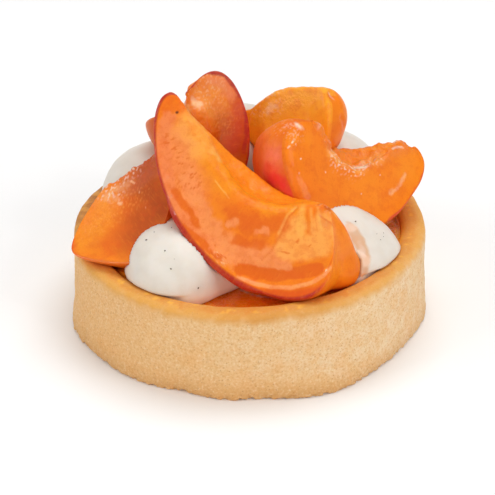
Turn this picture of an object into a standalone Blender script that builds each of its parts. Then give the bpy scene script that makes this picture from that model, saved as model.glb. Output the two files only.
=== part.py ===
# Apricot tart: a ring-shaped shortcrust shell with a glazed filling,
# whipped cream dollops and six glazed apricot wedges heaped on top.
# All driving sizes are in millimetres and are turned into metres at the end.

import math

import bmesh
import bpy
import numpy as np
from mathutils import Vector

MILLIMETRE = 0.001

# Shell sizes
RIM_RADIUS = 37.7
SHELL_HEIGHT = 20.7
WAIST_RADIUS = 37.55
FOOT_RADIUS = 37.6
BASE_RADIUS = 37.0
INNER_RIM_RADIUS = 33.0
INNER_WALL_RADIUS = 32.7
INNER_FOOT_RADIUS = 31.6
FLOOR_THICKNESS = 3.6

# Where the foot of the shell bulges out or draws in: direction, width, amount
FOOT_BULGES = (
    (190.0, 12.0, 1.1), (246.0, 9.0, -1.0), (271.0, 5.0, -0.6), (296.0, 13.0, 1.5),
    (328.0, 14.0, -0.8), (356.0, 8.0, 0.5), (62.0, 14.0, 0.7), (118.0, 12.0, -0.6))

# Where the top of the rim stands up: direction, width, amount
RIM_RISES = ((172.0, 16.0, 0.5), (22.0, 9.0, 0.7), (100.0, 14.0, -0.3))

SHELL_SEGMENTS = 88

# Filling sizes
FILLING_TOP = 17.5
FILLING_SAG = 0.4
FILLING_SEGMENTS = 54

# Clearance left between pieces that touch
GAP = 0.3

# Mesh fineness of the fruit and the cream
WEDGE_SECTIONS = 22
TIP_ANGLE = 13.0
EDGE_THICKNESS = 1.0
SKIN_POINTS = 8
HOLLOW_POINTS = 5
CREAM_SEGMENTS = 26
CREAM_RINGS = 9
EDGE_ROUNDING = 0.7

# Every wedge is a slice of a halved and stoned apricot.
# start and end are the two ends of the line that the slice is turned about,
# turn is the angle of its front cut face from straight down about that line,
# spread is the angle between its two cut faces, towards the side given by sense,
# skin_run and skin_rise shape the skin line, hollow shapes the stone hollow,
# and narrowing draws in the rear face.
WEDGES = {
    "apricot_front": dict(
        start=(-13.7, -0.4, 53.3), end=(16.4, -20.9, 38.9), turn=-41.5, sense=1, spread=64.8,
        skin_run=(-10.3, -4.7, -11.1, 12.0, 28.5), skin_rise=(1.2, 17.3, 30.8, 31.2, 22.8),
        hollow=(5.2, 0.2, 23.5, 2.5), narrowing=0.02),
    "apricot_right": dict(
        start=(16.1, 1.6, 45.4), end=(34.8, 9.3, 35.2), turn=-38.8, sense=1, spread=76.7,
        skin_run=(-23.0, -9.9, -13.5, 2.8, 15.0), skin_rise=(0.0, 21.9, 43.6, 25.3, 0.0),
        hollow=(1.4, 19.1, 5.4, -3.4), hollow_shares=(0.0, 0.86), narrowing=0.0),
    "apricot_top": dict(
        start=(-13.6, 10.0, 47.0), end=(-11.7, 0.8, 23.4), turn=80.2, sense=-1, spread=58.0,
        skin_run=(-10.1, -14.7, -2.0, -2.0, 2.9), skin_rise=(8.4, 13.9, 19.3, 16.4, 8.4),
        hollow=(3.0, 5.0, 5.0, 3.0), narrowing=0.62),
    "apricot_left": dict(
        start=(-30.4, -1.8, 32.4), end=(-14.2, 4.4, 42.2), turn=-70.9, sense=1, spread=48.0,
        skin_run=(-30.0, -12.0, -16.3, -23.5, -12.9), skin_rise=(12.4, 7.3, 20.7, 32.2, 19.8),
        hollow=(0.5, 0.7, 0.8, 0.4), narrowing=0.28),
    "apricot_back_right": dict(
        start=(0.1, 17.8, 40.4), end=(17.3, 11.1, 49.2), turn=-28.4, sense=1, spread=60.0,
        skin_run=(-6.5, -4.1, 1.9, 8.2, -3.2), skin_rise=(6.5, 14.0, 21.0, 16.5, 11.0),
        hollow=(1.4, -4.2, -2.2, 1.3), narrowing=0.1),
    "apricot_back_left": dict(
        start=(-17.8, 11.0, 42.9), end=(-8.0, 26.0, 33.0), turn=-4.0, sense=1, spread=66.0,
        skin_run=(-2.2, -2.2, -2.2, 1.2, 4.0), skin_rise=(2.0, 8.5, 14.0, 13.0, 8.0),
        hollow=(2.0, 5.0, 5.0, 2.0), narrowing=0.3),
}

# Every cream dollop is a piped round with a drawn-out tail.
# centre is its middle on the filling, radius and height its size,
# tail_angle, tail and tail_width draw out one side, lean moves its top.
CREAMS = {
    "cream_front_left": dict(
        centre=(-15.6, -19.8), radius=11.4, height=12.4, tail_angle=-20.0, tail=0.45, tail_width=34.0,
        lean=(0.0, 3.0), squareness=2.3),
    "cream_right": dict(
        centre=(21.2, -11.5), radius=11.6, height=11.4, tail_angle=200.0, tail=0.1, tail_width=50.0,
        lean=(-1.0, 2.0), squareness=2.4),
    "cream_back_left": dict(
        centre=(-20.5, 15.0), radius=13.0, height=13.8, tail_angle=0.0, tail=0.1, tail_width=60.0,
        lean=(3.5, -1.0), squareness=2.4),
    "cream_back_right": dict(
        centre=(16.3, 18.3), radius=13.0, height=15.0, tail_angle=0.0, tail=0.1, tail_width=60.0,
        lean=(-2.0, -1.0), squareness=2.4),
    "cream_back": dict(
        centre=(-1.0, 21.5), radius=11.0, height=21.0, tail_angle=90.0, tail=0.0, tail_width=60.0,
        lean=(0.8, 0.0), squareness=1.7),
    "cream_middle": dict(
        centre=(-5.0, -1.5), radius=12.5, height=12.0, tail_angle=90.0, tail=0.0, tail_width=60.0,
        lean=(0.0, 0.0), squareness=2.2),
}

# Colour, roughness and metallic value of each material
MATERIALS = {
    "pastry": ((0.77, 0.49, 0.22), 0.75, 0.0),
    "filling": ((0.42, 0.08, 0.01), 0.15, 0.0),
    "cream": ((0.86, 0.78, 0.68), 0.45, 0.0),
    "apricot": ((0.86, 0.25, 0.035), 0.18, 0.0),
}


def clear_scene():
    for item in list(bpy.data.objects):
        bpy.data.objects.remove(item, do_unlink=True)


def make_material(name):
    colour, roughness, metallic = MATERIALS[name]
    material = bpy.data.materials.get(name)
    if material is None:
        material = bpy.data.materials.new(name)
        material.use_nodes = True
        shader = material.node_tree.nodes["Principled BSDF"]
        shader.inputs["Base Color"].default_value = (*colour, 1.0)
        shader.inputs["Roughness"].default_value = roughness
        shader.inputs["Metallic"].default_value = metallic
        material.diffuse_color = (*colour, 1.0)
    return material


def rings_to_mesh(name, rings, first_point, last_point, material):
    mesh_builder = bmesh.new()
    first = mesh_builder.verts.new(Vector(first_point) * MILLIMETRE)
    rows = []
    for ring in rings:
        rows.append([mesh_builder.verts.new(Vector(point) * MILLIMETRE) for point in ring])
    last = mesh_builder.verts.new(Vector(last_point) * MILLIMETRE)
    count = len(rows[0])
    for index in range(count):
        following = (index + 1) % count
        mesh_builder.faces.new((first, rows[0][following], rows[0][index]))
        mesh_builder.faces.new((last, rows[-1][index], rows[-1][following]))
        for lower, upper in zip(rows[:-1], rows[1:]):
            mesh_builder.faces.new((lower[index], lower[following], upper[following], upper[index]))
    bmesh.ops.recalc_face_normals(mesh_builder, faces=mesh_builder.faces)
    if mesh_builder.calc_volume(signed=True) < 0:
        bmesh.ops.reverse_faces(mesh_builder, faces=mesh_builder.faces)
    mesh = bpy.data.meshes.new(name)
    mesh_builder.to_mesh(mesh)
    mesh_builder.free()
    mesh.shade_smooth()
    mesh.set_sharp_from_angle(angle=math.radians(38.0))
    piece = bpy.data.objects.new(name, mesh)
    bpy.context.scene.collection.objects.link(piece)
    if material is not None:
        mesh.materials.append(make_material(material))
    return piece


def angle_bump(angle, middle, width):
    difference = (angle - middle + 180.0) % 360.0 - 180.0
    return math.exp(-((difference / width) ** 2))


def rim_unevenness(angle):
    turn = math.radians(angle)
    return 0.22 * math.sin(3.0 * turn + 0.6) + 0.14 * math.sin(7.0 * turn + 2.1)


def foot_unevenness(angle):
    total = 0.08 * math.sin(math.radians(11.0 * angle) + 2.0)
    for middle, width, height in FOOT_BULGES:
        total += height * angle_bump(angle, middle, width)
    return total


def rim_height_change(angle):
    turn = math.radians(angle)
    total = 0.1 * math.sin(4.0 * turn + 0.3) + 0.08 * math.sin(9.0 * turn + 1.2)
    for middle, width, height in RIM_RISES:
        total += height * angle_bump(angle, middle, width)
    return total


def inner_radius_change(angle):
    turn = math.radians(angle)
    return 0.15 * math.sin(3.0 * turn + 1.9) + 0.1 * math.sin(8.0 * turn + 0.4)


def build_shell(name, grow=0.0):
    # radius, height, and how much of the foot, rim, top and inner unevenness applies
    profile = (
        (BASE_RADIUS, 0.0, 1.0, 0.0, 0.0, 0.0),
        (37.45, 0.4, 1.0, 0.0, 0.0, 0.0),
        (FOOT_RADIUS, 1.6, 0.8, 0.0, 0.0, 0.0),
        (37.6, 6.0, 0.35, 0.2, 0.0, 0.0),
        (WAIST_RADIUS, 11.5, 0.1, 0.4, 0.0, 0.0),
        (37.6, 16.2, 0.0, 0.8, 0.0, 0.0),
        (RIM_RADIUS, 19.0, 0.0, 1.0, 0.3, 0.0),
        (37.5, 20.1, 0.0, 1.0, 1.0, 0.0),
        (36.6, SHELL_HEIGHT - 0.1, 0.0, 0.8, 1.0, 0.0),
        (35.0, SHELL_HEIGHT, 0.0, 0.3, 1.0, 0.3),
        (33.8, 20.4, 0.0, 0.0, 1.0, 0.8),
        (INNER_RIM_RADIUS, 19.5, 0.0, 0.0, 0.6, 1.0),
        (INNER_WALL_RADIUS, 17.6, 0.0, 0.0, 0.0, 1.0),
        (32.4, 11.0, 0.0, 0.0, 0.0, 1.0),
        (INNER_FOOT_RADIUS, 5.0, 0.0, 0.0, 0.0, 0.6),
        (30.2, FLOOR_THICKNESS, 0.0, 0.0, 0.0, 0.0),
    )
    rings = []
    for radius, height, foot, rim, top, inner in profile:
        ring = []
        side = 1.0 if radius > 34.5 else -1.0
        lift = grow if height > 18.0 or 34.5 > radius else 0.0
        for index in range(SHELL_SEGMENTS):
            angle = 360.0 * index / SHELL_SEGMENTS
            turn = math.radians(angle)
            reach = radius + foot * foot_unevenness(angle) + rim * rim_unevenness(angle)
            reach += inner * inner_radius_change(angle) + side * grow
            level = height + top * rim_height_change(angle) + lift
            ring.append((reach * math.cos(turn), reach * math.sin(turn), level))
        rings.append(ring)
    return rings_to_mesh(
        name, rings, (0.0, 0.0, 0.0), (0.0, 0.0, FLOOR_THICKNESS + grow), "pastry")


def build_filling(name):
    profile = (
        (29.5, FLOOR_THICKNESS + GAP, 0.0),
        (31.1, 5.2, 0.6),
        (32.05, 11.0, 1.0),
        (32.35, FILLING_TOP, 1.0),
        (31.6, FILLING_TOP - 0.25, 1.0),
        (29.5, FILLING_TOP - FILLING_SAG, 0.4),
        (20.0, FILLING_TOP - FILLING_SAG, 0.0),
    )
    rings = []
    for radius, height, inner in profile:
        ring = []
        for index in range(FILLING_SEGMENTS):
            angle = 360.0 * index / FILLING_SEGMENTS
            turn = math.radians(angle)
            reach = radius + inner * inner_radius_change(angle)
            ring.append((reach * math.cos(turn), reach * math.sin(turn), height))
        rings.append(ring)
    lowest = (0.0, 0.0, FLOOR_THICKNESS + GAP)
    highest = (0.0, 0.0, FILLING_TOP - FILLING_SAG)
    return rings_to_mesh(name, rings, lowest, highest, "filling")


def bernstein(controls, share):
    degree = len(controls) - 1
    total = np.zeros(2)
    for index, control in enumerate(controls):
        weight = math.comb(degree, index) * (1.0 - share) ** (degree - index) * share ** index
        total = total + weight * np.array(control)
    return total


def round_corner(before, corner, after, size):
    towards_before = before - corner
    towards_after = after - corner
    reach_before = min(size, 0.4 * np.linalg.norm(towards_before))
    reach_after = min(size, 0.4 * np.linalg.norm(towards_after))
    first = corner + towards_before / max(np.linalg.norm(towards_before), 1e-6) * reach_before
    last = corner + towards_after / max(np.linalg.norm(towards_after), 1e-6) * reach_after
    return [first, last]


def wedge_outline(spec, length, share):
    skin_controls = [(0.0, 0.0)]
    for index, (run, rise) in enumerate(zip(spec["skin_run"], spec["skin_rise"])):
        skin_controls.append((run + length * index / 4.0, rise))
    skin_controls.append((length, 0.0))
    hollow = spec["hollow"]
    hollow_controls = (
        (0.0, 0.0), (0.12 * length, hollow[0]), (0.35 * length, hollow[1]),
        (0.65 * length, hollow[2]), (0.88 * length, hollow[3]), (length, 0.0))
    first, last = spec.get("hollow_shares", (0.0, 1.0))
    hollow_share = min(max((share - first) / (last - first), 0.0), 1.0)
    return bernstein(hollow_controls, hollow_share), bernstein(skin_controls, share)


def build_wedge(name, spec, grow=0.0):
    start = np.array(spec["start"])
    end = np.array(spec["end"])
    length = np.linalg.norm(end - start)
    along = (end - start) / length
    down = np.array((0.0, 0.0, -1.0))
    down = down - along * np.dot(down, along)
    down = down / np.linalg.norm(down)
    across = np.cross(along, down)
    turn = math.radians(spec["turn"])
    spread = math.radians(spec["spread"]) * spec["sense"]

    def direction(part):
        angle = turn + spread * part
        return math.cos(angle) * down + math.sin(angle) * across

    def narrowed(run, part):
        narrow = 1.0 - spec["narrowing"] * part
        if run < 0.0:
            return run * narrow
        if run > length:
            return length + (run - length) * narrow
        return run

    def skin_point(outline, part):
        rise = outline[1] * (1.0 - 0.35 * spec["narrowing"] * part)
        return start + along * narrowed(outline[0], part) + direction(part) * rise

    def inner_point(outline, ridge, part):
        shift = min(outline[1] - ridge, 0.0)
        reach = max(outline[1], ridge)
        return start + along * outline[0] + direction(0.0) * shift + direction(part) * reach

    rings = []
    for angle in np.linspace(TIP_ANGLE, 180.0 - TIP_ANGLE, WEDGE_SECTIONS):
        share = 0.5 - 0.5 * math.cos(math.radians(angle))
        ridge = EDGE_THICKNESS * math.sin(math.pi * share)
        upper, lower = wedge_outline(spec, length, share)
        hollow = [inner_point(upper, ridge, part) for part in np.linspace(0.0, 1.0, HOLLOW_POINTS)]
        skin = [skin_point(lower, part) for part in np.linspace(1.0, 0.0, SKIN_POINTS)]
        rear = [hollow[-1] * (1.0 - part) + skin[0] * part for part in (0.34, 0.67)]
        front = [skin[-1] * (1.0 - part) + hollow[0] * part for part in (0.34, 0.67)]
        ring = []
        ring += round_corner(front[-1], hollow[0], hollow[1], EDGE_ROUNDING)
        ring += hollow[1:-1]
        ring += round_corner(hollow[-2], hollow[-1], rear[0], EDGE_ROUNDING)
        ring += rear
        ring += round_corner(rear[-1], skin[0], skin[1], EDGE_ROUNDING)
        ring += skin[1:-1]
        ring += round_corner(skin[-2], skin[-1], front[0], EDGE_ROUNDING)
        ring += front
        rings.append([tuple(point) for point in ring])
    first_point = np.mean(rings[0], axis=0)
    last_point = np.mean(rings[-1], axis=0)
    piece = rings_to_mesh(name, rings, tuple(first_point), tuple(last_point), "apricot")
    if grow > 0.0:
        swell(piece, grow)
    return piece


def build_cream(name, spec, grow=0.0):
    base = FILLING_TOP + GAP - grow
    rings = []
    for level in range(CREAM_RINGS):
        share = -0.28 + (1.28 * level / CREAM_RINGS)
        quarter = 0.5 * math.pi * share
        power = 2.0 / spec["squareness"]
        flat = math.cos(quarter) ** power
        rise = max(math.sin(quarter), 0.0) ** power if share > 0 else 0.0
        under = 1.0 if share > 0 else 1.0 + 0.35 * share
        body = 0.30 + 0.70 * rise if share > 0 else 0.30 * (share + 0.28) / 0.28
        ring = []
        for index in range(CREAM_SEGMENTS):
            angle = 360.0 * index / CREAM_SEGMENTS
            turn = math.radians(angle)
            tail = spec["tail"] * angle_bump(angle, spec["tail_angle"], spec["tail_width"])
            reach = spec["radius"] * flat * under * (1.0 + tail * (1.0 - 0.6 * max(body, 0.0)))
            reach += 0.18 * math.sin(3.0 * turn + 0.7) + grow
            x = spec["centre"][0] + spec["lean"][0] * body + reach * math.cos(turn)
            y = spec["centre"][1] + spec["lean"][1] * body + reach * math.sin(turn)
            z = base + spec["height"] * body + (2.0 * grow if level else 0.0)
            distance = math.hypot(x, y)
            above_rim = min(max((z - 19.5) / 4.0, 0.0), 1.0)
            limit = INNER_WALL_RADIUS - 0.65 + 1.2 * above_rim
            if distance > limit:
                x *= limit / distance
                y *= limit / distance
            ring.append((x, y, z))
        rings.append(ring)
    x = spec["centre"][0]
    y = spec["centre"][1]
    top = (x + spec["lean"][0], y + spec["lean"][1], base + spec["height"] + 2.0 * grow)
    return rings_to_mesh(name, rings, (x, y, base), top, "cream")


def swell(piece, grow):
    mesh_builder = bmesh.new()
    mesh_builder.from_mesh(piece.data)
    mesh_builder.normal_update()
    moves = []
    for vertex in mesh_builder.verts:
        shortest = min(edge.calc_length() for edge in vertex.link_edges)
        moves.append((vertex, vertex.normal * min(grow * MILLIMETRE, 1.2 * shortest)))
    for vertex, move in moves:
        vertex.co += move
    mesh_builder.to_mesh(piece.data)
    mesh_builder.free()


def cut_piece(piece, cutter):
    cut = piece.modifiers.new("clearance", "BOOLEAN")
    cut.operation = "DIFFERENCE"
    cut.solver = "EXACT"
    cut.object = cutter
    depsgraph = bpy.context.evaluated_depsgraph_get()
    result = bpy.data.meshes.new_from_object(piece.evaluated_get(depsgraph))
    piece.modifiers.clear()
    piece.data = result


def keep_largest_body(piece):
    mesh_builder = bmesh.new()
    mesh_builder.from_mesh(piece.data)
    bmesh.ops.triangulate(mesh_builder, faces=mesh_builder.faces)
    bmesh.ops.dissolve_degenerate(mesh_builder, dist=0.00001, edges=mesh_builder.edges)
    left = set(mesh_builder.verts)
    bodies = []
    while left:
        stack = [left.pop()]
        body = set(stack)
        while stack:
            vertex = stack.pop()
            for edge in vertex.link_edges:
                other = edge.other_vert(vertex)
                if other not in body:
                    body.add(other)
                    left.discard(other)
                    stack.append(other)
        bodies.append(body)
    bodies.sort(key=len, reverse=True)
    spare = [vertex for body in bodies[1:] for vertex in body]
    bmesh.ops.delete(mesh_builder, geom=spare, context="VERTS")
    bmesh.ops.triangulate(mesh_builder, faces=mesh_builder.faces)
    mesh_builder.to_mesh(piece.data)
    mesh_builder.free()
    piece.data.shade_smooth()
    piece.data.set_sharp_from_angle(angle=math.radians(38.0))
    return len(bodies)


def remove_piece(piece):
    bpy.data.objects.remove(piece, do_unlink=True)


def build_tart():
    clear_scene()
    build_shell("tart_shell")
    filling = build_filling("filling")

    wedges = {}
    wedge_cutters = []
    shell_cutter = build_shell("shell_clearance", grow=GAP)
    for name, spec in WEDGES.items():
        wedge = build_wedge(name, spec)
        for cutter in wedge_cutters:
            cut_piece(wedge, cutter)
        cut_piece(wedge, shell_cutter)
        keep_largest_body(wedge)
        wedges[name] = wedge
        wedge_cutters.append(build_wedge(name + "_clearance", spec, grow=GAP))

    cream_cutters = []
    for name, spec in CREAMS.items():
        cream = build_cream(name, spec)
        for cutter in wedge_cutters:
            cut_piece(cream, cutter)
        for cutter in cream_cutters:
            cut_piece(cream, cutter)
        keep_largest_body(cream)
        cream_cutters.append(build_cream(name + "_clearance", spec, grow=GAP))

    for cutter in wedge_cutters:
        cut_piece(filling, cutter)
    keep_largest_body(filling)

    for cutter in wedge_cutters + cream_cutters + [shell_cutter]:
        remove_piece(cutter)


build_tart()
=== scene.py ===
# Apricot tart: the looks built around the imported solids.
# Sizes are in millimetres and are turned into metres when a mesh is made.

import math

import bpy
import numpy as np
from mathutils import Matrix, Vector
from mathutils.bvhtree import BVHTree


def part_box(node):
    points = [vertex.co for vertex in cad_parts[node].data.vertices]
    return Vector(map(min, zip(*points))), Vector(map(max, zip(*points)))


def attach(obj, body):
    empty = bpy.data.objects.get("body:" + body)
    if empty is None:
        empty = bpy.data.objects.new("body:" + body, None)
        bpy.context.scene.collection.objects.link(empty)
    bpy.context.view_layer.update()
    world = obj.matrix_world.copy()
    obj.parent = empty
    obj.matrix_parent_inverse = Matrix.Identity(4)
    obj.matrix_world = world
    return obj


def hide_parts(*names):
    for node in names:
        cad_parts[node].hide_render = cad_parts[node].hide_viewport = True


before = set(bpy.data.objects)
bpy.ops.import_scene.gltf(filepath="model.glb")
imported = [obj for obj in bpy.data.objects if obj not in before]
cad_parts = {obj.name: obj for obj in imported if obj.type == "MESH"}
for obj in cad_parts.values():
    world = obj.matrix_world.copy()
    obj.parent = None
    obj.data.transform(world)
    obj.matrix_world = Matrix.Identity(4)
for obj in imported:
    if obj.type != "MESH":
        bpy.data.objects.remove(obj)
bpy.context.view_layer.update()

MILLIMETRE = 0.001

# Sizes shared with the solids
INNER_WALL_RADIUS = 32.7
FLOOR_THICKNESS = 3.6
FILLING_TOP = 17.5
GAP = 0.3

# Shell outline: radius, height, and the shares of the foot, rim, top and inner waves there
SHELL_PROFILE = (
    (0, 0, 0, 0, 0, 0), (37, 0, 1, 0, 0, 0), (37.45, 0.4, 1, 0, 0, 0), (37.6, 1.6, 0.8, 0, 0, 0),
    (37.6, 6, 0.35, 0.2, 0, 0), (37.55, 11.5, 0.1, 0.4, 0, 0), (37.6, 16.2, 0, 0.8, 0, 0),
    (37.7, 19, 0, 1, 0.3, 0), (37.5, 20.1, 0, 1, 1, 0), (36.6, 20.6, 0, 0.8, 1, 0),
    (34.8, 20.75, 0, 0.3, 1, 0.3), (33.3, 20.5, 0, 0, 1, 0.8), (32.4, 19.7, 0, 0, 0.6, 1),
    (32.6, 17.6, 0, 0, 0, 1), (32.4, 11, 0, 0, 0, 1), (31.6, 5, 0, 0, 0, 0.6),
    (30.2, 3.6, 0, 0, 0, 0), (0, 3.6, 0, 0, 0, 0))
SHELL_SEGMENTS = 860
PROFILE_STEP = 0.1
PROFILE_ROUNDING = 9

# Waves around the shell: amount, count, phase
FOOT_WAVES = ((0.08, 11, 2),)
RIM_WAVES = ((0.22, 3, 0.6), (0.14, 7, 2.1))
TOP_WAVES = ((0.1, 4, 0.3), (0.08, 9, 1.2))
INNER_WAVES = ((0.15, 3, 1.9), (0.1, 8, 0.4))

# Bulges around the shell and pools of the filling: angle, width, amount
FOOT_BULGES = (
    (190, 12, 1.1), (246, 9, -1), (271, 5, -0.6), (296, 13, 1.5), (328, 14, -0.8), (356, 8, 0.5),
    (62, 14, 0.7), (118, 12, -0.6))
RIM_RISES = ((172, 16, 0.5), (18, 11, 0.95), (100, 14, -0.3))
FILLING_POOLS = ((213, 11, 1), (352, 20, 1))

# Filling outline up to the edge of its flat top: radius, height, share of the inner waves
FILLING_PROFILE = (
    (29.5, FLOOR_THICKNESS + GAP, 0), (31.1, 5.2, 0.6), (32.05, 11, 1), (32.1, 14, 1), (32.45, 17.2, 1),
    (32.5, 18.4, 1), (32.5, 19.3, 1), (32.2, 19.45, 1), (31.9, 19.1, 1), (31.6, 18.7, 1),
    (31.3, 18.35, 1), (31, 18.1, 0.9), (30.6, 17.8, 0.8), (30.2, 17.5, 0.6))
FILLING_CREST = 8
FILLING_SAG = 0.4
FILLING_SEGMENTS = 600

# Bumps of a surface: height, size, seed
FRUIT_BUMPS = ((0.24, 7, 11), (0.03, 2.6, 12))
TORN_BUMPS = ((0.38, 1.8, 14), (0.16, 0.8, 15))
CREAM_BUMPS = ((0.22, 6, 31), (0.06, 2.5, 32))
FILLING_BUMPS = ((0.22, 5, 51), (0.1, 2, 52))
FOOT_CRUMBS = ((1, 1.5, 45), (0.7, 0.7, 49))
RIM_RAGGEDNESS = ((0.6, 2.5, 48), (0.3, 1, 53))

# The wedges are slices of a halved apricot, cut as the solids are, with small changes of outline
EDGE_THICKNESS = 1
TIP_ANGLE = 6
HOLLOW_SHARES = (0.12, 0.35, 0.65, 0.88)
HOLLOW_POINTS = 26
REAR_POINTS = 36
SKIN_POINTS = 46
PLAIN_WEDGE = dict(sense=1, hollow_shares=(0, 1), slim=1, red_end=9, dull_ridge=0, dull_edge=0)
WEDGES = {
    "front": dict(
        start=(-13.7, -0.4, 53.3), end=(16.4, -20.9, 38.9), turn=-41.5, spread=64.8,
        skin_run=(-10.3, -4.7, -11.1, 12, 28.5), skin_rise=(1.2, 17.3, 30.8, 31.2, 22.8),
        hollow=(5.2, 0.2, 23.5, 2.5), narrowing=0.02, sections=300, front=90,
        rounding=((2.2, 2.8), (1.2, 1.5), (0.8, 2.2), (0.45, 0.7)), torn=0.35, red=0.95,
        red_end=0.81, slim=0.66, dull_ridge=0.75, dull_edge=0.6),
    "right": dict(
        start=(16.1, 1.6, 45.4), end=(34.8, 9.3, 35.2), turn=-38.8, spread=76.7,
        skin_run=(-23, -9.9, -13.5, 2.8, 15), skin_rise=(0, 21.9, 43.6, 25.3, 0),
        hollow=(1.4, 19.1, 5.4, -3.4), hollow_shares=(0, 0.86), narrowing=0, sections=260, front=76,
        rounding=((1.6, 1.1), (1.6, 1.2), (2.5, 1.4), (5, 0.9)), torn=1.5, red=0.25, dull_edge=0.8),
    "top": dict(
        start=(-13.6, 10, 47), end=(-11.7, 0.8, 23.4), turn=80.2, sense=-1, spread=58,
        skin_run=(-10.1, -14.7, -2, -2, 2.9), skin_rise=(8.4, 13.9, 19.3, 16.4, 8.4),
        hollow=(3, 5, 5, 3), narrowing=0.62, sections=200, front=64,
        rounding=((1.2, 1.2), (1, 1), (1, 1), (0.7, 0.7)), torn=0.9, red=1),
    "left": dict(
        start=(-30.4, -1.8, 32.4), end=(-14.2, 4.4, 42.2), turn=-70.9, spread=48,
        skin_run=(-30, -12, -16.3, -23.5, -12.9), skin_rise=(12.4, 7.3, 20.7, 32.2, 19.8),
        hollow=(0.5, 0.7, 0.8, 0.4), narrowing=0.28, sections=220, front=64,
        rounding=((0.8, 0.8), (0.8, 0.8), (0.8, 0.8), (0.6, 0.6)), torn=1.7, red=0.35),
    "back_right": dict(
        start=(0.1, 17.8, 40.4), end=(17.3, 11.1, 49.2), turn=-28.4, spread=60,
        skin_run=(-6.5, -4.1, 1.9, 8.2, -3.2), skin_rise=(6.5, 14, 21, 16.5, 11),
        hollow=(1.4, -4.2, -2.2, 1.3), narrowing=0.1, sections=180, front=56,
        rounding=((0.8, 0.8), (0.8, 0.8), (1.2, 3.5), (0.8, 2.2)), torn=0.4, red=0.15, dull_edge=0.8),
    "back_left": dict(
        start=(-17.8, 11, 42.9), end=(-8, 26, 33), turn=-4, spread=66,
        skin_run=(-2.2, -2.2, -2.2, 1.2, 4), skin_rise=(2, 8.5, 14, 13, 8),
        hollow=(2, 5, 5, 2), narrowing=0.3, sections=150, front=44,
        rounding=((1, 1), (1, 1), (0.8, 0.8), (0.6, 0.6)), torn=0.5, red=0.6),
}

# The cream dollops. The two in front are shaped a little further than the solids.
CREAM_SEGMENTS = 150
CREAM_LEVELS = 64
CREAM_FOOT = 0.28
CREAM_BELLY = 0.3
PLAIN_CREAM = dict(tail=0, tail_angle=0, tail_width=60)
CREAMS = {
    "front_left": dict(
        centre=(-15.8, -18.8), radius=11.1, height=12.6, tail_angle=4, tail=0.46, tail_width=25,
        lean=(1.8, 3.6), squareness=2.3),
    "right": dict(
        centre=(22.6, -11.6), radius=11, height=14, tail_angle=340, tail=0.12, tail_width=45,
        lean=(-9.2, 4), squareness=1.95),
    "back_left": dict(
        centre=(-20.5, 15), radius=13, height=13.8, tail=0.1, lean=(3.5, -1), squareness=2.4),
    "back_right": dict(
        centre=(16.3, 18.3), radius=13, height=15, tail=0.1, lean=(-2, -1), squareness=2.4),
    "back": dict(centre=(-1, 21.5), radius=11, height=21, lean=(0.8, 0), squareness=1.7),
    "middle": dict(centre=(-5, -1.5), radius=12.5, height=12, lean=(0, 0), squareness=2.2),
}

# On the cream: larger specks, numbers of smaller ones, and a smear of glaze
VANILLA_SPECKS = (
    ("front_left", (-21.8, -18.4, 29)), ("front_left", (-17.7, -23.3, 29)),
    ("front_left", (-16.5, -27.3, 26.8)), ("front_left", (-9.9, -29.4, 22.3)),
    ("right", (22.7, -12.6, 28.9)))
SCATTERED_SPECKS = {"front_left": 8, "right": 8, "back_left": 12, "back_right": 12, "back": 6}
GLAZE_SMEAR = ((21.6, -14.6, 28.2), (23.4, -17.5, 26.6), (24.4, -19.5, 24.4), (23.4, -21.5, 21.8))
# Line of a painted highlight on the filling along the front wedge's lower edge
FILLING_HIGHLIGHT_LINE = (-4.7, -18.2, -1.6, -21.2, 0.95, -23.7, 3.9, -24.5, 6.4, -25)

# Linear colours of the crust, the cream and the filling
CRUST = (0.83, 0.53, 0.235)
CRUST_GOLD = (0.85, 0.44, 0.14)
CRUST_PALE = (0.92, 0.71, 0.47)
CRUST_GLAZED = (0.74, 0.25, 0.018)
CRUST_RIM = (0.78, 0.36, 0.05)
CRUST_INSIDE = (1, 0.42, 0.03)
CRUST_BROWN = (0.4, 0.13, 0.025)
RIM_IN_FRONT = (0.66, 0.26, 0.03)
RIM_SLOPE = (0.68, 0.2, 0.012)
RIM_SPOTS = (0.95, 0.47, 0.04)
FOOT_SHADE = (0.66, 0.36, 0.13)
CREAM = (0.8, 0.74, 0.66)
# Painted warm light thrown back from the glazed filling onto the foot of the cream
CREAM_BOUNCE_LIGHT = (0.92, 0.76, 0.6)
SMEAR = (0.76, 0.38, 0.15)
SMEAR_HEART = (0.86, 0.6, 0.44)
FILLING = (0.98, 0.24, 0.012)
FILLING_EDGE = (1, 0.33, 0.012)
# Painted highlight on the filling
FILLING_HIGHLIGHT = (1, 0.74, 0.6)

# Linear colours of the fruit
FLESH = (0.9, 0.215, 0.004)
FLESH_YELLOW = (0.96, 0.29, 0.008)
SKIN = (0.92, 0.24, 0.006)
BLUSH = (0.72, 0.1, 0.02)
RED_EDGE = (0.45, 0.02, 0.015)
DEEP = (0.8, 0.14, 0.004)
# Painted reflections of a lamp in the glaze, in salmon, coral and rose
SALMON_REFLECTION = (1, 0.41, 0.08)
CORAL_REFLECTION = (0.94, 0.3, 0.085)
ROSE_REFLECTION = (0.9, 0.25, 0.072)
GOLDEN = (0.92, 0.29, 0.01)
YELLOW = (0.97, 0.34, 0.015)
# Painted highlights, orange and pale
ORANGE_HIGHLIGHT = (1, 0.52, 0.12)
PALE_HIGHLIGHT = (1, 0.62, 0.34)
RUSTY = (0.76, 0.13, 0.006)
BURNT = (0.49, 0.068, 0.003)
CRIMSON = (0.66, 0.035, 0.03)
DARK_RED = (0.36, 0.03, 0.004)
SPOT = (0.1, 0.02, 0.01)
# Painted glints
GLINT = (1, 0.84, 0.68)

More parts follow.
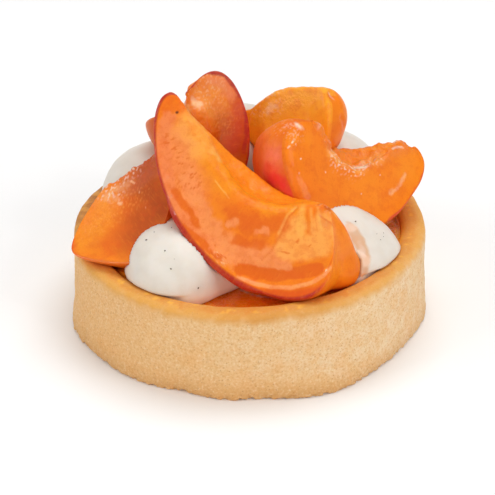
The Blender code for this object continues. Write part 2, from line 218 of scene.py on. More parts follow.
# Marks lie on a wedge's cut face in front, on its edge or on its skin, or anywhere on it.
# The first two are lines in its own run and rise, all others are lines in space.
MARK_KINDS = ("skin", "front", "edge", "all")
SHARP_EDGE = (0.1, 0.5)
FOLD = (34.9, 4.9, 34.7, 7.3, 35.6, 11.7, 36, 15.3, 35.5, 18.2)
CREASE = (36.9, 4, 40, 7.9)
OTHER_CREASE = (38.2, 3.2, 41.6, 6.6)
NOTCH = (19.2, 9.6, 41.6, 20.2, 10.2, 39.4)

# Colour patches: line, width, colour, amount, then raggedness and softness of the edge. Besides the fruit's
# own tones they hold painted reflections, highlights and shade, noted for each wedge.
PAINT = {}
# Front wedge: painted reflections, highlights and shade among the fruit's own tones
PAINT["front", "front"] = (
    ((6, 6, 11.8, 7, 18.6, 9, 24.1, 9, 29.7, 8, 32.8, 6), 3.4, GOLDEN, 0.9, 0.8, 0.9),
    ((1.8, 1.9, 7, 3.7, 15, 4.1, 27.8, 4.4), 0.8, YELLOW, 0.6, 0.5, 0.9),
    # Painted reflection on the horn
    ((4, 3.8, 4.5, 6, 8, 7, 10, 7.4), 2.2, (1, 0.4, 0.07), 0.85, 0.6, 0.8),
    ((6.5, 2.6, 10.5, 3.6), 1.2, (1, 0.42, 0.08), 0.7, 0.4, 0.9),
    ((-1.5, 1.5, -0.5, 4, 1, 3, 1.5, 1), 1.7, (0.86, 0.17, 0.008), 0.85, 0.4, 0.8),
    # Painted reflections of a lamp in the glaze
    ((4, 9, 9, 12, 14, 15), 3.4, CORAL_REFLECTION, 0.8, 0.8, 0.7),
    ((0.7, 5.5, 1.5, 8.3, 3.8, 11.3, 6.7, 14.3, 9.1, 16.6, 11.7, 18.8, 15.8, 20.4,
      20.8, 21.4, 25.4, 22.1), 1.4, ROSE_REFLECTION, 0.95, 0.5, 0.4),
    ((12.5, 13.7, 16.9, 16.3, 20.6, 18.2, 25.4, 19.9, 30.1, 19.9, 34.1, 17.5), 2, CORAL_REFLECTION, 0.9, 0.7, 0.4),
    ((28, 21.4, 31.8, 20.2, 35.6, 17.8, 38.6, 15.7), 2.5, CORAL_REFLECTION, 0.9, 0.6, 0.4),
    ((37.2, 8.8, 38.5, 13, 41.3, 11.2, 44, 8.2, 41.8, 4.8), 2.6, SALMON_REFLECTION, 0.85, 0.3, 0.3),
    # Deeper orange patches, with small painted reflections among them
    ((24.5, 13.6, 25.9, 12.4, 28.8, 12.6, 31.5, 12.6, 34, 10), 2.2, DEEP, 0.85, 0.8, 0.5),
    ((28.4, 18, 31, 17.1, 33.2, 15.7), 1.1, DEEP, 0.9, 0.6, 0.4),
    ((29.4, 15.4, 27.8, 14.6), 1, DEEP, 0.8, 0.6, 0.5), ((25.4, 16.2, 26, 15), 0.7, CORAL_REFLECTION, 0.9, 0.5, 0.4),
    ((31.2, 13.8, 32.9, 12.8), 0.8, CORAL_REFLECTION, 0.9, 0.7, 0.4),
    ((21.5, 13.2, 23, 11.8, 26, 10.6), 1.6, (0.88, 0.2, 0.006), 0.7, 0.8, 0.7),
    ((11.2, 17.2, 14.3, 18.1, 17.4, 19.1, 19.5, 20.2), 0.75, DEEP, 0.9, 0.4, 0.4),
    ((17.7, 22.1, 21.5, 22.3, 24, 22.9), 0.7, DEEP, 0.9, 0.4, 0.4),
    ((25.6, 22.8, 27.9, 23.4, 28.5, 22.5), 0.5, DEEP, 0.9, 0.9, 0.4),
    ((33.1, 22.3, 36.7, 20.8, 40.5, 18.5, 44.1, 15.4, 46.3, 12.8), 1.35, DEEP, 1, 0.25, 0.16),
    # A small painted reflection
    ((39, 17, 41, 16), 0.8, CORAL_REFLECTION, 0.9, 0.3, 0.3),
    ((34, 25.6, 39.1, 24.3, 45, 20.6, 49, 16.7, 51.2, 13.3), 1, (0.78, 0.1, 0.008), 0.85, 0.2, 0.6),
    # A pink painted reflection along the lower edge
    ((33.6, 24.2, 37.5, 22.9, 40.8, 21.5, 44.2, 19.2, 47, 16.1, 48.3, 13.2, 48.4, 11.1),
     0.42, (0.98, 0.36, 0.11), 0.95, 0.12, 0.45),
    ((40, 3.6, 43.3, 3.5, 45.6, 5.2, 47.3, 8, 48.1, 11.3), 0.2, RUSTY, 0.6),
    ((36, 4.8, 37.2, 7, 39.2, 9), 0.8, (1, 0.46, 0.08), 0.75, 0.3, 0.8),
    # Painted highlights beside the creases and the fold, and painted shade in the creases and along the fold
    ((37.6, 3.5, 40.8, 7.4), 0.28, ORANGE_HIGHLIGHT, 0.4, 0.15, 0.8),
    ((38.6, 2.6, 42.3, 5.9), 0.24, ORANGE_HIGHLIGHT, 0.4, 0.15, 0.8),
    (CREASE, 0.16, DEEP, 0.3, 0.1, 0.8), (OTHER_CREASE, 0.16, DEEP, 0.3, 0.1, 0.8),
    ((34.6, 5.2, 34.2, 7.3, 35.1, 11.7), 0.24, ORANGE_HIGHLIGHT, 0.5, 0.1, 0.7),
    (FOLD, 0.18, RUSTY, 0.5, 0.15, 0.7), ((39.3, 10.3, 39.3, 10.9), 0.2, DEEP, 0.8, 0.2, 0.5),
    ((42.1, 9.7, 42, 10.2), 0.2, DEEP, 0.8, 0.2, 0.5), ((38.2, 14.3, 39.4, 13.7), 0.2, DEEP, 0.8, 0.3, 0.5),
    # Painted highlights near the hollow
    ((12.4, 4.9, 14.3, 6.1), 0.9, (1, 0.58, 0.17), 0.85, 0.5, 0.8),
    ((17.8, 6.6, 19.5, 7.7), 0.16, ORANGE_HIGHLIGHT, 0.6, 0.1, 0.6),
    ((17.2, 10.5, 21.9, 11.7), 0.14, ORANGE_HIGHLIGHT, 0.5, 0.1, 0.6),
    ((29.5, 4.6, 33.5, 3.2, 36.8, 1), 0.9, BURNT, 0.7, 0.3, 0.9),
    ((36.8, 0.8, 39.4, 0.9, 40.6, 1.4), 0.6, DARK_RED, 0.75, 0.5, 0.6),
    ((1.6, 3.6), 0.3, SPOT, 0.95, 0.2, 0.5))
PAINT["right", "skin"] = (
    ((3.2, -0.3, 42, 2.3, -0.6, 37.4), 4, (0.95, 0.21, 0.06), 0.8, 0.8, 0.9),
    ((5.4, -6.6, 41.1, 5, -6, 38), 2.6, (0.98, 0.22, 0.13), 0.8, 0.8, 0.7),
    ((4.8, -7.6, 36.6, 6.8, -10, 36.6, 7.8, -11.4, 36), 2.5, (0.88, 0.055, 0.055), 0.95, 0.8, 0.8))
# Right wedge: painted highlights and glints, a painted reflection in the hollow and a pale pink painted
# highlight at the tip
PAINT["right", "front"] = (
    ((-11.6, 7.3, -9.9, 8.6), 0.22, PALE_HIGHLIGHT, 0.8), ((-8.8, 5.2, -9.4, 7.5), 0.22, PALE_HIGHLIGHT, 0.8),
    ((-10.2, 8.2, -9.5, 9.6, -9, 12.7, -7.8, 17.2), 0.16, PALE_HIGHLIGHT, 0.6, 0.15, 0.6),
    ((-7, 6.2, -7.2, 6.6), 0.12, GLINT, 0.8), ((-7.6, 7.4, -7.9, 7.9), 0.12, GLINT, 0.8),
    ((-6.4, 6.6, -6.3, 6.9), 0.1, GLINT, 0.7), ((-4.8, 9.6), 0.14, GLINT, 0.8),
    ((1.7, 11), 0.16, GLINT, 0.8), ((-4.8, 12.7), 0.12, GLINT, 0.7),
    ((11.2, 13.7), 0.16, GLINT, 0.8), ((15.7, 8.6), 0.14, GLINT, 0.8),
    ((18.6, 11.8, 20.6, 9.9, 22, 7.2), 0.35, PALE_HIGHLIGHT, 0.45, 0.5, 0.9),
    ((3.4, 6.4, 7.3, 7, 9.5, 7.6, 12.9, 5.8, 14.6, 4.6), 1.5, SALMON_REFLECTION, 0.7, 0.9, 0.7),
    ((10.6, 7.6, 11.6, 7.2, 12.2, 6.4), 0.5, GLINT, 0.75, 0.4, 0.6),
    ((7.3, 7.6, 8.6, 8.6), 0.22, GLINT, 0.6, 0.4, 0.6), ((5, 6.8, 6.2, 6.9), 0.18, GLINT, 0.6, 0.4, 0.6),
    ((18.5, 2.2, 20.6, 1), 0.3, GLINT, 0.55, 0.5, 0.7), ((-0.9, 1.1), 0.7, (0.96, 0.42, 0.24), 0.8, 0.5, 0.6),
    ((23.5, 13.2, 26.2, 9.2, 27.6, 4.5), 0.7, (0.8, 0.1, 0.008), 0.8, 0.3, 0.7),
    ((18.6, 18, 21.5, 15.2, 24, 12.6), 0.3, CRIMSON, 0.7, 0.1, 0.6),
    ((19, 18.4, 21.7, 15.6, 23.6, 13.5), 0.16, GLINT, 0.8))
# A painted highlight on the rounded top
PAINT["right", "all"] = (((11.9, -2.6, 45.9, 10.6, -2.2, 46.3), 0.65, GLINT, 0.85, 0.15, 0.5),)
PAINT["top", "front"] = (
    # Lighter towards the top left, where light falls on it: painted light
    ((-2.5, 4.1, -0.2, 6.8, 2, 5.6, 3.6, 7.5), 3, (0.93, 0.34, 0.05), 0.75, 0.8, 0.7),
    # Dark red towards the lower right, in the gap between the wedges: painted shade
    ((8.6, 9.4, 11.8, 12, 10.4, 8, 14, 7), 4.2, DARK_RED, 0.65, 0.5, 0.9),
    ((1.9, 12.4, 5.7, 12.9, 8.8, 12, 11.9, 10.6), 1.7, (0.58, 0.045, 0.004), 0.8, 0.4, 0.9),
    # A pink painted reflection
    ((-3, 7.1, -1.7, 10, 0.8, 11.2), 1.3, (0.92, 0.3, 0.11), 0.75, 0.6, 0.6),
    # The red edge of the skin
    ((-4.9, 6.8, -3.6, 10.2, -0.5, 12.4, 2.6, 13.8, 5.9, 14.1, 10.1, 13.6, 13.3, 12.7),
     0.55, RED_EDGE, 0.95, 0.15, 0.5),
    # A painted highlight
    ((0.9, 2.8, 2.3, 2.8, 1.3, 3.8), 0.6, PALE_HIGHLIGHT, 0.8, 0.6, 0.7))
PAINT["left", "front"] = (
    # Golden on the left, deeper and burnt towards the right where the wedges beside it shade it: painted
    # light and shade
    ((-11.1, 7.5, -6, 8.5, -0.9, 3.8), 3.6, GOLDEN, 0.8, 0.6, 0.9),
    ((2, 7, -1, 11, -6, 13), 3, DEEP, 0.7, 0.6, 0.9),
    ((10.9, 2.3, 7, 5.1, 6.8, 9.2, 5.6, 13.8, 2.3, 12.8, 2.1, 14.9, -0.8, 16), 4.2, BURNT, 0.9, 0.6, 0.9),
    # Pale painted sparkles
    ((3.6, 2.6, 0.7, 2.1, -1.3, 2.2, -0.4, 4.6), 0.8, PALE_HIGHLIGHT, 0.25, 1, 0.7),
    ((0.1, 5.9, 0.5, 6.3), 0.3, PALE_HIGHLIGHT, 0.8, 0.3, 0.6), ((4.9, 3.2, 5.3, 4), 0.2, PALE_HIGHLIGHT, 0.8, 0.2, 0.6),
    ((5, 6.8), 0.15, PALE_HIGHLIGHT, 0.8), ((5.9, 10.1), 0.15, PALE_HIGHLIGHT, 0.7), ((4.2, 11.1), 0.15, PALE_HIGHLIGHT, 0.7),
    # Red skin at the tip
    ((-12.8, 5.6, -13.5, 7.6), 1, (0.8, 0.09, 0.01), 0.8, 0.3, 0.7))
PAINT["back_right", "front"] = (
    ((3, 2, 12, 3, 20, 3.5), 7, (1, 0.42, 0.022), 0.9, 0.5, 0.9),
    # A darker patch and a painted highlight
    ((0.6, 2.6, 1.4, 6.5), 2, DEEP, 0.2, 0.8, 0.9), ((6.9, 1.5, 5, 2.2), 0.6, PALE_HIGHLIGHT, 0.5, 0.5, 0.8))
# Painted glints, and a darker notch
PAINT["back_right", "all"] = (
    ((17.6, 11.3, 47.2, 17.9, 10.6, 43.6), 0.22, GLINT, 0.6, 0.1, 0.6),
    ((19.2, 13.2, 46.4, 20, 13.6, 44.6), 0.18, GLINT, 0.6, 0.1, 0.6),
    (NOTCH, 0.5, (0.82, 0.15, 0.01), 0.7, 0.3, 0.8))
# Dark orange over the back left wedge: painted shade
PAINT["back_left", "all"] = (((-20.3, 11.8, 40.8, -20, 14, 36), 4, (0.66, 0.12, 0.008), 0.85, 0.3, 0.9),)

# Hollows and ridges: line, width, height
RELIEFS = {
    ("front", "front"): (
        ((33.1, 22.9, 36.7, 21.1, 40.5, 18.5, 44.1, 15.4, 46.3, 12.8), 1.6, -0.35),
        ((33.6, 24.6, 37.5, 23.6, 40.8, 21.8, 44.2, 19.2, 47, 16.1), 0.9, 0.15),
        (FOLD, 0.5, -0.12), (CREASE, 0.3, -0.03), (OTHER_CREASE, 0.3, -0.03), ((15, 12, 26, 15), 8, 0.4)),
    ("front", "edge"): (
        ((16, 22, 22, 25, 29, 26.5, 35, 26.5), 3.6, 0.9), ((-6, 3, -5, 9, 0, 15), 3, 0.3)),
    ("front", "all"): (((-12.4, -1, 52.3), 0.9, 0.5), ((20.8, -22.2, 21.2), 3, 2.3)),
    ("right", "front"): (
        ((3.4, 5.5, 6.4, 6.9, 9.5, 7.3, 13.3, 5.3), 1.6, -0.4), ((-0.8, 1.2), 0.9, 0.5)),
    ("right", "all"): (((8.5, -2, 45.8, 6.5, -3.5, 44, 6, -5.5, 41.5), 4, 0.9),),
    ("top", "edge"): (((3.4, 3.6, 5.5, 4.3, 8, 4.8), 1.8, 1.3), ((-2, 2.5, -0.5, 1.5), 1.4, -0.5)),
    ("back_right", "all"): (
        ((19.9, 11.3, 43, 20.5, 12.5, 45.5), 3.6, 1.6), ((17.2, 11.2, 49), 1.1, 0.4), (NOTCH, 0.5, -0.3)),
}

# Scattered flecks: line, width, colour, amount, length and breadth of a fleck. The pale and glint flecks are
# painted sparkles and the salmon ones painted reflections; the rusty and burnt ones are the fruit's own
# specks.
FLECKS = {
    ("front", "front"): (
        ((2.9, 9.2, 6.3, 10.6, 10, 11.4, 13.7, 12.6), 1.6, RUSTY, 0.8, 1.5, 0.5),
        ((9.9, 15.6, 15, 14.6), 1.2, RUSTY, 0.6, 1.2, 0.5),
        ((27.5, 23.2, 29, 23.4), 0.9, PALE_HIGHLIGHT, 0.6, 0.5, 0.5),
        ((37.5, 0.8, 41, 0.6, 43.5, 0.8), 1.3, PALE_HIGHLIGHT, 0.6, 0.7, 0.6),
        ((38.5, 1.2, 41.5, 0.4), 0.9, BURNT, 0.7, 1, 0.6)),
    ("right", "front"): (((4.4, 7.8, 8.4, 9.1, 12.3, 5.5, 14, 4.4), 1.6, GLINT, 0.75, 0.7, 0.5),),
    ("right", "all"): (((8, -2, 44, 9.5, -3, 44.5), 2, GLINT, 0.4, 0.4, 0.4),),
    ("top", "front"): (
        ((-3.1, 5.5, -1.5, 7, 0.3, 6), 2.6, PALE_HIGHLIGHT, 0.6, 0.6, 0.5),
        ((1, 8, 6, 9), 3, SALMON_REFLECTION, 0.35, 0.6, 0.5)),
    ("left", "front"): (
        ((7.5, 0.8, 4.2, 1, 1.5, 1.2, -0.9, 1.8, 1, 3.5), 1.5, GLINT, 0.7, 0.7, 0.5),
        ((-8, 6.5, -1, 7, 4, 7), 3, SALMON_REFLECTION, 0.35, 0.5, 0.4)),
    ("back_right", "front"): (((1.8, 1.6, 3.9, 1.2, 7.4, 1), 1.8, PALE_HIGHLIGHT, 0.45, 0.8, 0.5),),
}

# Torn, grainy places: line, width, amount
GRAIN = {
    ("right", "front"): (
        ((3.4, 5.5, 6.4, 6.9, 9.5, 7.3, 13.3, 5.3, 16.5, 3.2, 20.3, 1), 1.8, 1), ((-7, 6.6), 1.2, 0.3)),
    ("top", "front"): (
        ((-2.4, 3.1, -3, 6.6, -1.5, 9.9, 1.1, 5.1, 4, 8), 4.5, 1), ((4, 8, 12, 9), 5, 0.4)),
    ("left", "front"): (((-2.1, 1.5, 5.5, 2.5, 11.7, 2.8), 3, 1), ((-8, 4.5, -2, 6), 3, 0.35)),
    ("back_right", "front"): (((2, 2, 8, 2, 16, 1), 2, 0.6),),
    ("front", "front"): (((27.3, 22.9, 29.3, 23.2), 1, 0.6), ((36.8, 0.8, 40.6, 1.4, 44, 3), 1.6, 0.8)),
}

# Layers of a mesh that aren't single numbers
LAYER_KINDS = {"tone": ("FLOAT_COLOR", "color"), "place": ("FLOAT_VECTOR", "vector")}

# Lamps: name, heading, distance in metres, width, length, brightness
LAMPS = (
    ("box_left", (-0.84, -0.18, 0.5), 0.9, 0.34, 0.42, 3),
    ("box_front", (0.12, -0.93, 0.22), 0.95, 0.7, 0.28, 2.4),
    ("box_right", (0.64, -0.52, 0.58), 0.9, 0.4, 0.36, 3.2),
    ("box_top", (0.15, 0.3, 1), 1, 0.9, 0.7, 2.9),
    ("glint_left", (-0.66, -0.4, 0.62), 0.9, 0.08, 0.12, 16),
    ("glint_right", (0.42, -0.62, 0.66), 0.9, 0.08, 0.08, 20))
LAMP_AIM = Vector((0, 0, 0.03))
DAYLIGHT = 0.36
FLOOR_SIZE = 3

# Camera
ELEVATION = math.radians(30)
ROLL = math.radians(-1.05)
DISTANCE = 975.4
TARGET = Vector((-0.28, 0, 15.6))


def ramp(value, low, high):
    # Eased from 0 at low to 1 at high
    share = np.clip((value - low) / (high - low), 0, 1)
    return share * share * (3 - 2 * share)


def hump(value, middle, width):
    return np.exp(-(((value - middle) / width) ** 2))


def angle_hump(angle, middle, width):
    return hump((angle - middle + 180) % 360 - 180, 0, width)


def with_humps(values, angles, humps):
    for middle, width, amount in humps:
        values = values + amount * angle_hump(angles, middle, width)
    return values


def waves(turn, parts):
    return sum(amount * np.sin(count * turn + phase) for amount, count, phase in parts)


def painted(tone, coats):
    # Lays coats of colour over a tone, each with its own amount
    tone = np.asarray(tone)
    for target, amount in coats:
        amount = np.asarray(amount)[..., None]
        tone = tone * (1 - amount) + np.asarray(target) * amount
    return tone


def noise(points, size, seed):
    # Smooth noise of about -1 to 1, whose features are about size millimetres across
    source = np.random.default_rng(seed)
    table = source.permutation(256)
    slopes = source.normal(size=(256, 3))
    slopes /= np.linalg.norm(slopes, axis=1, keepdims=True)
    grid = points / np.asarray(size)
    cell = np.floor(grid).astype(int)
    inside = grid - cell
    ease = inside ** 3 * (inside * (inside * 6 - 15) + 10)
    total = np.zeros(grid.shape[:-1])
    for corner in np.ndindex(2, 2, 2):
        offset = np.array(corner)
        key = 0
        for axis in range(3):
            key = table[(key + cell[..., axis] + offset[axis]) & 255]
        weight = np.prod(np.where(offset, ease, 1 - ease), axis=-1)
        total += weight * np.sum(slopes[key] * (inside - offset), axis=-1)
    return total * 1.7


def bumps(points, parts):
    return sum(height * noise(points, size, seed) for height, size, seed in parts)


def patches(points, size, seed, low, high):
    # Soft-edged patches of 0 to 1, drawn from three layers of noise
    layers = [noise(points, size / 2 ** layer, seed + layer) / 2 ** layer for layer in range(3)]
    return ramp(sum(layers) / 1.4, low, high)


def ring_angles(count):
    # Even steps around, in degrees and in radians
    angles = 360 * np.arange(count) / count
    return angles, np.radians(angles)


def raised(rings, relief):
    # Moves the points of rings outwards by the relief
    along = np.gradient(rings, axis=0)
    around = np.roll(rings, -1, axis=1) - np.roll(rings, 1, axis=1)
    normals = np.cross(around, along)
    normals /= np.maximum(np.linalg.norm(normals, axis=-1, keepdims=True), 1e-9)
    middle = rings.mean(axis=(0, 1))
    if np.mean(np.sum(normals * (rings - middle), axis=-1)) < 0:
        normals = -normals
    return rings + normals * relief[..., None]


def with_ends(values):
    # Values of the points, and the mean of each end ring for the point in its middle
    first, last = values[:1].mean(axis=1), values[-1:].mean(axis=1)
    return np.concatenate([first, values.reshape(-1, *values.shape[2:]), last])


def ring_faces(rings):
    # A closed skin of quads over the rings, with a fan of triangles at each end
    points = with_ends(rings)
    count, width = rings.shape[:2]
    index = 1 + np.arange(count * width).reshape(count, width)
    following = np.roll(index, -1, axis=1)
    quads = np.stack([index[:-1], following[:-1], following[1:], index[1:]], axis=-1).reshape(-1, 4)
    zero = np.zeros(width, dtype=int)
    start_fan = np.stack([zero, following[0], index[0]], axis=-1)
    end_fan = np.stack([zero + count * width + 1, index[-1], following[-1]], axis=-1)
    corners = points[np.concatenate([quads[:, (0, 1, 2)], quads[:, (0, 2, 3)], start_fan, end_fan])]
    volume = np.sum(corners[:, 0] * np.cross(corners[:, 1], corners[:, 2]))
    faces = quads.tolist() + start_fan.tolist() + end_fan.tolist()
    if volume < 0:
        faces = [face[::-1] for face in faces]
    return points, faces


def add_object(name, data):
    made = bpy.data.objects.new(name, data)
    bpy.context.scene.collection.objects.link(made)
    return made


def make_piece(name, points, faces, material, replaced=()):
    mesh = bpy.data.meshes.new(name)
    mesh.from_pydata((points * MILLIMETRE).tolist(), [], faces)
    mesh.update()
    mesh.shade_smooth()
    mesh.materials.append(material)
    piece = add_object(name, mesh)
    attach(piece, "root")
    if replaced:
        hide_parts(*replaced)
    return piece


def set_layers(piece, **layers):
    for name, values in layers.items():
        values = with_ends(values)
        if name == "tone":
            values = np.pad(np.clip(values, 0, 1), ((0, 0), (0, 1)), constant_values=1)
        kind, field = LAYER_KINDS.get(name, ("FLOAT", "value"))
        layer = piece.data.attributes.new(name, kind, "POINT")
        layer.data.foreach_set(field, values.astype(np.float32).ravel())


class Graph:
    # A material's nodes, with plain calls for the few kinds used here
    def __init__(self, name):
        self.material = bpy.data.materials.new(name)
        self.material.use_nodes = True
        self.tree = self.material.node_tree
        self.shader = self.tree.nodes["Principled BSDF"]
        self.place = self.scaled(self.node("TexCoord", {}, "Object"), (1 / MILLIMETRE,) * 3)

    def node(self, kind, inputs, output=0, **settings):
        made = self.tree.nodes.new("ShaderNode" + kind)
        for key, value in settings.items():
            setattr(made, key, value)
        for key, value in inputs.items():
            self.feed(made.inputs[key], value)
        return made.outputs[output]

    def feed(self, socket, value):
        if isinstance(value, bpy.types.NodeSocket):
            self.tree.links.new(value, socket)
        elif socket.type == "RGBA":
            socket.default_value = (*value, 1)
        else:
            socket.default_value = value

    def surface(self, **values):
        for key, value in values.items():
            self.feed(self.shader.inputs[key.replace("_", " ")], value)
        return self.material

    def attribute(self, name, output="Fac"):
        return self.node("Attribute", {}, output, attribute_name=name)

    def scaled(self, vector, factors):
        return self.node("VectorMath", {0: vector, 1: factors}, operation="MULTIPLY")

    def noise(self, scale, detail=2, roughness=0.5, place=None):
        place = self.place if place is None else place
        inputs = {"Vector": place, "Scale": scale, "Detail": detail, "Roughness": roughness}
        return self.node("TexNoise", inputs, "Fac")

    def spots(self, scale):
        return self.node("TexVoronoi", {"Vector": self.place, "Scale": scale}, "Distance")

    def remap(self, value, low, high, to_low, to_high):
        inputs = {"Value": value, "From Min": low, "From Max": high, "To Min": to_low, "To Max": to_high}
        return self.node("MapRange", inputs, "Result", interpolation_type="SMOOTHSTEP")

    def plus(self, first, second):
        return self.node("Math", {0: first, 1: second}, operation="ADD")

    def times(self, first, second):
        return self.node("Math", {0: first, 1: second}, operation="MULTIPLY")

    def mix(self, factor, first, second):
        return self.node("Mix", {0: factor, 6: first, 7: second}, 2, data_type="RGBA")

    def bump(self, height, strength, distance):
        inputs = {"Height": height, "Strength": strength, "Distance": distance * MILLIMETRE}
        return self.node("Bump", inputs, "Normal")


def make_fruit_material():
    graph = Graph("glazed_apricot")
    radial = graph.scaled(graph.attribute("place", "Vector"), (1, 0.2, 0))
    mottle = graph.noise(0.5, 4, 0.6)
    fibres = graph.noise(2.2, 3, 0.6, radial)
    fine = graph.noise(3, 3, 0.6)
    tone = graph.attribute("tone", "Color")
    tone = graph.mix(graph.remap(mottle, 0.45, 0.65, 0, 0.3), tone, (0.74, 0.1, 0.003))
    tone = graph.mix(graph.remap(fibres, 0.5, 0.75, 0, 0.16), tone, (0.98, 0.36, 0.02))
    tone = graph.mix(graph.remap(fine, 0.52, 0.72, 0, 0.22), tone, (0.66, 0.07, 0.003))
    torn = graph.times(graph.noise(1.5, 4, 0.6), graph.attribute("grain"))
    pith = graph.plus(graph.times(fibres, 0.2), graph.times(torn, 3.5))
    bubbles = graph.remap(graph.spots(0.45), 0, 0.13, 0.25, 0)
    glaze = graph.plus(graph.plus(bubbles, graph.times(torn, 3.6)), graph.times(mottle, 0.2))
    return graph.surface(
        Base_Color=tone, Roughness=graph.remap(fine, 0.3, 0.8, 0.4, 0.55),
        Normal=graph.bump(pith, 0.5, 0.25), Specular_IOR_Level=0.2, Subsurface_Weight=0.3,
        Subsurface_Radius=(1, 0.3, 0.06), Subsurface_Scale=0.0012, IOR=1.4,
        Coat_Weight=graph.attribute("gloss"), Coat_Roughness=0.04, Coat_IOR=1.5,
        Coat_Normal=graph.bump(glaze, 0.6, 0.25))


def make_cream_material():
    graph = Graph("whipped_cream")
    soft = graph.noise(0.22, 3)
    fine = graph.noise(2.4, 3, 0.6)
    shade = graph.remap(soft, 0.35, 0.7, 0, 0.35)
    return graph.surface(
        Base_Color=graph.mix(shade, graph.attribute("tone", "Color"), (0.67, 0.585, 0.48)),
        Roughness=graph.remap(fine, 0.3, 0.7, 0.38, 0.5),
        Normal=graph.bump(graph.plus(graph.times(soft, 1.4), fine), 0.25, 0.12),
        Subsurface_Weight=0.45, Subsurface_Radius=(1, 0.8, 0.6), Subsurface_Scale=0.0015, IOR=1.42,
        Coat_Weight=graph.attribute("gloss"), Coat_Roughness=0.08)


def make_pastry_material():
    graph = Graph("shortcrust")
    wide = graph.noise(0.55, 3, 0.6)
    grain = graph.noise(1.9, 5, 0.72)
    pores = graph.spots(1.25)
    smooth = graph.attribute("smooth")
    rough_share = graph.remap(smooth, 0, 1, 1, 0.42)
    pale_share = graph.remap(smooth, 0, 0.8, 1, 0.15)
    tone = graph.attribute("tone", "Color")
    for value, low, high, to_low, to_high, share, target in (
            (wide, 0.45, 0.7, 0, 0.35, rough_share, (0.82, 0.42, 0.14)),
            (grain, 0.5, 0.3, 0, 0.5, pale_share, (0.98, 0.77, 0.49)),
            (grain, 0.5, 0.66, 0, 0.65, rough_share, (0.7, 0.34, 0.1)),
            (pores, 0.05, 0.24, 0.75, 0, rough_share, (0.52, 0.22, 0.06))):
        amount = graph.times(graph.remap(value, low, high, to_low, to_high), share)
        tone = graph.mix(amount, tone, target)
    height = graph.plus(graph.remap(pores, 0, 0.25, 0, 0.7), graph.times(grain, -1.8))
    return graph.surface(
        Base_Color=tone, Roughness=graph.remap(grain, 0.3, 0.7, 0.62, 0.85),
        Normal=graph.bump(graph.times(height, rough_share), 0.6, 0.22),
        Subsurface_Weight=0.12, Subsurface_Radius=(1, 0.6, 0.3), Subsurface_Scale=0.0008,
        Coat_Weight=graph.attribute("gloss"), Coat_Roughness=0.25)


def make_filling_material():
    graph = Graph("glazed_filling")
    swell = graph.noise(0.4, 3)
    fine = graph.noise(1.6, 3, 0.6)
    dark = graph.remap(swell, 0.4, 0.7, 0, 0.5)
    height = graph.plus(graph.times(swell, 2), graph.times(fine, 0.5))
    return graph.surface(
        Base_Color=graph.mix(dark, graph.attribute("tone", "Color"), (0.7, 0.1, 0.008)),
        Roughness=graph.remap(fine, 0.3, 0.7, 0.2, 0.35), Normal=graph.bump(height, 0.5, 0.25),
        Subsurface_Weight=0.6, Subsurface_Radius=(1, 0.4, 0.08), Subsurface_Scale=0.003,
        Coat_Weight=0.55, Coat_Roughness=0.05)


def make_speck_material():
    graph = Graph("vanilla_speck")
    tone = graph.mix(graph.noise(4), (0.05, 0.03, 0.02), (0.16, 0.1, 0.07))
    return graph.surface(Base_Color=tone, Roughness=graph.remap(graph.noise(7), 0.3, 0.7, 0.5, 0.7))


def bernstein(controls, shares):
    degree = len(controls) - 1
    total = np.zeros((len(shares), 2))
    for index, control in enumerate(controls):
        weight = math.comb(degree, index) * (1 - shares) ** (degree - index) * shares ** index
        total += weight[:, None] * np.array(control)
    return total


def spread_between(first, last, count):
    steps = np.linspace(0, 1, count + 2)[1:-1]
    steps = 0.6 * steps + 0.4 * (0.5 - 0.5 * np.cos(math.pi * steps))
    steps = steps[None, :, None]
    return first * (1 - steps) + last * steps


def line_distance(places, line):
    # Distance of places from a line through points, or from a single point
    line = np.reshape(np.array(line, dtype=float), (-1, places.shape[-1]))
    nearest = np.full(places.shape[:-1], np.inf)
    for first, last in zip(line, line[1:] if len(line) > 1 else line):
        towards = last - first
        share = np.clip((places - first) @ towards / max(towards @ towards, 1e-9), 0, 1)
        nearest = np.minimum(nearest, np.linalg.norm(places - first - share[..., None] * towards, axis=-1))
    return nearest


def rounded_corner(rings, corner, radii):
    # Draws the rings smooth around one of their corners, with a radius for each ring.
    # The small added share keeps the tiny rings at a tip in place.
    step = np.linalg.norm(np.roll(rings, -1, axis=1) - rings, axis=-1)
    travel = np.cumsum(step, axis=1) - step
    total = step.sum(axis=1)
    share = 0.5 * (step + np.roll(step, 1, axis=1)) + 1e-6
    smoothed = np.empty_like(rings)
    for index in range(len(rings)):
        apart = np.abs(travel[index][:, None] - travel[index][None])
        apart = np.minimum(apart, total[index] - apart)
        kernel = np.exp(-((apart / radii[index]) ** 2)) * share[index][None]
        drawn = kernel @ rings[index] / kernel.sum(axis=1, keepdims=True)
        weight = np.exp(-((apart[:, corner] / (1.7 * radii[index])) ** 2))[:, None]
        smoothed[index] = rings[index] * (1 - weight) + drawn * weight
    return smoothed


